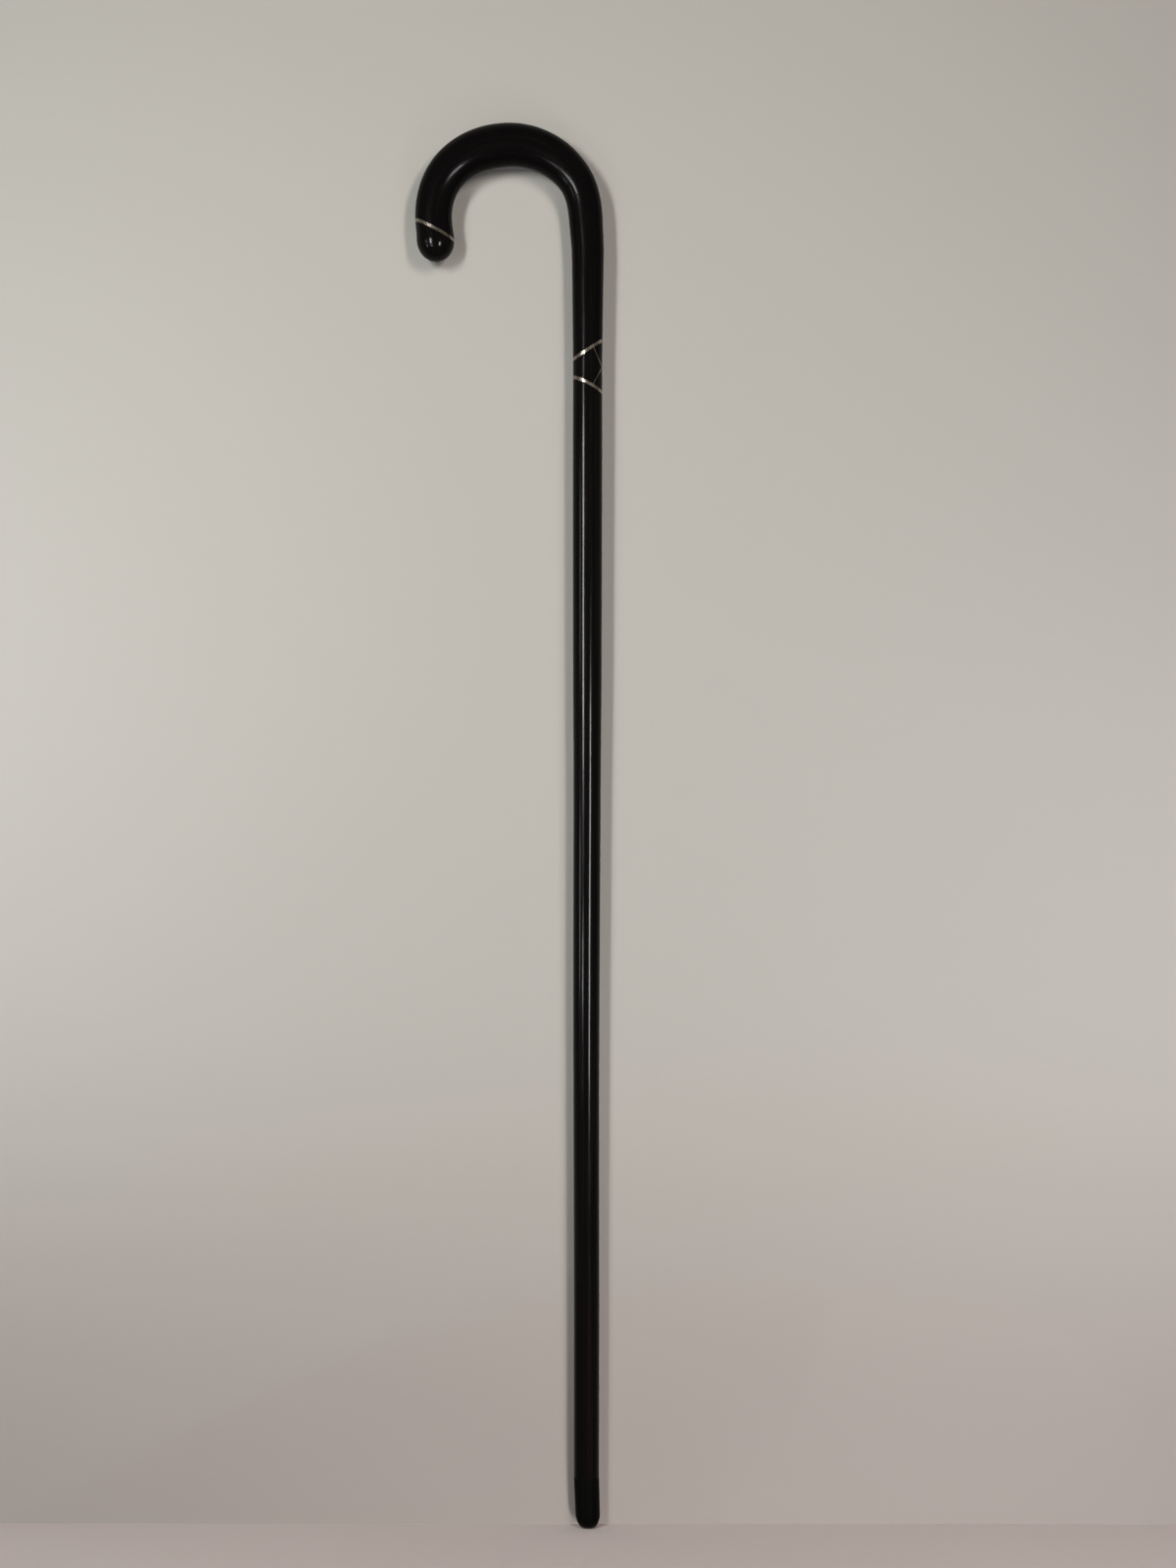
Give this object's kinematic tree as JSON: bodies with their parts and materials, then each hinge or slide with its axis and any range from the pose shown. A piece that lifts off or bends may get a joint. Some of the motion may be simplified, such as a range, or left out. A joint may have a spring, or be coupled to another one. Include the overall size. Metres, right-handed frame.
{
  "type": "walking cane",
  "caption": "Slim walking cane of near-black polished wood with a round crook handle, oblique flush metal discs at collar and nose, and a plain dark tip.",
  "frame": {"origin": "where the shaft's straight axis meets the flat foot of the tip", "axes": "+Z along the shaft from the foot to the crook, -X towards the crook's nose, Y across the crook's plane"},
  "size_m": [0.1206, 0.0282, 0.8996],
  "materials": {
    "satin_ebony": "satin, hand polished",
    "gloss_ebony": "gloss, wax over fine sanding",
    "nickel_silver": "polished flush with the wood, slightly warm",
    "steel": "plain drawn rod",
    "horn": "matt black, worn at the foot",
    "peg_wood": "plain hardwood"
  },
  "bodies": {
    "root": {"crook_handle": "satin_ebony", "nose_band": "nickel_silver", "nose_cap": "gloss_ebony", "nose_pin": "steel", "upper_collar_band": "nickel_silver", "collar_block": "gloss_ebony", "upper_wedge_sheet": "nickel_silver", "upper_collar_wedge": "gloss_ebony", "lower_wedge_sheet": "nickel_silver", "lower_collar_wedge": "gloss_ebony", "lower_collar_band": "nickel_silver", "joint_rod": "steel", "shaft": "gloss_ebony", "ferrule_peg": "peg_wood", "ferrule": "horn"}
  },
  "joints": []
}
